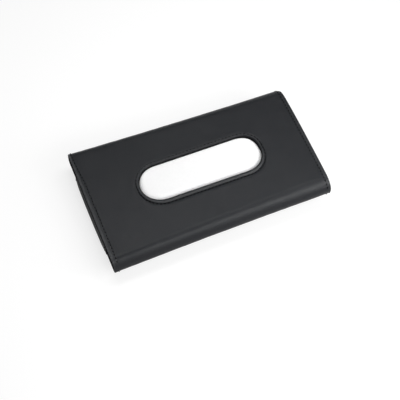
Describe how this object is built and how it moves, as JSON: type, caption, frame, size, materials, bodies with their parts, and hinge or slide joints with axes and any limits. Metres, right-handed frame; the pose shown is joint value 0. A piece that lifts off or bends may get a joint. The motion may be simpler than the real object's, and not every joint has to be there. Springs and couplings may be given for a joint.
{
  "type": "car tissue holder",
  "caption": "Flat leather sleeve for a pack of tissues, with a long rounded opening in its front, a magnetic end flap and spring clips on its back for a sun visor.",
  "frame": {"origin": "centre of the bounding box's base, on the plane that the clips lie on", "axes": "+X from the end flap to the closed end, +Y from the fold where the clips bend to the fold where their arms end, +Z out of the front with the opening"},
  "size_m": [0.2296, 0.142, 0.0344],
  "materials": {
    "black_leather": "satin, fine grain",
    "grey_card": "matte",
    "black_cloth": "matte",
    "white_tissue": "matte",
    "spring_steel": "satin",
    "magnet": "plated, satin"
  },
  "bodies": {
    "case": {"wrap_cover": "black_leather", "opening_rim": "black_leather", "closed_end_panel": "black_leather", "front_board": "grey_card", "back_board": "grey_card", "front_lining": "black_cloth", "back_lining": "black_cloth", "tissue_pack": "white_tissue", "keeper_magnet_near": "magnet", "keeper_magnet_far": "magnet", "clip_base_left": "spring_steel", "clip_base_right": "spring_steel", "rivet_left_near": "spring_steel", "rivet_left_far": "spring_steel", "rivet_right_near": "spring_steel", "rivet_right_far": "spring_steel", "rivet_washer_left_near": "spring_steel", "rivet_washer_left_far": "spring_steel", "rivet_washer_right_near": "spring_steel", "rivet_washer_right_far": "spring_steel"},
    "end_flap": {"end_flap": "black_leather", "end_flap_board": "grey_card", "end_flap_lining": "black_cloth", "flap_magnet_near": "magnet", "flap_magnet_far": "magnet"},
    "clip_arm_left": {"clip_arm_left": "spring_steel"},
    "clip_arm_right": {"clip_arm_right": "spring_steel"}
  },
  "joints": [
    {"name": "end_flap_hinge", "type": "hinge", "parent": "case", "child": "end_flap", "pos_m": [-0.11335, 0, 0.011], "axis": [0, -1, 0], "range_deg": [0, 110]},
    {"name": "clip_arm_left_flex", "type": "hinge", "parent": "case", "child": "clip_arm_left", "pos_m": [-0.06, -0.03928, 0.00045], "axis": [-1, 0, 0], "range_deg": [0, 14], "stiffness_Nm_per_rad": 0.6, "springref_deg": -2.86},
    {"name": "clip_arm_right_flex", "type": "hinge", "parent": "case", "child": "clip_arm_right", "pos_m": [0.06, -0.03928, 0.00045], "axis": [-1, 0, 0], "range_deg": [0, 14], "stiffness_Nm_per_rad": 0.6, "springref_deg": -2.86}
  ]
}
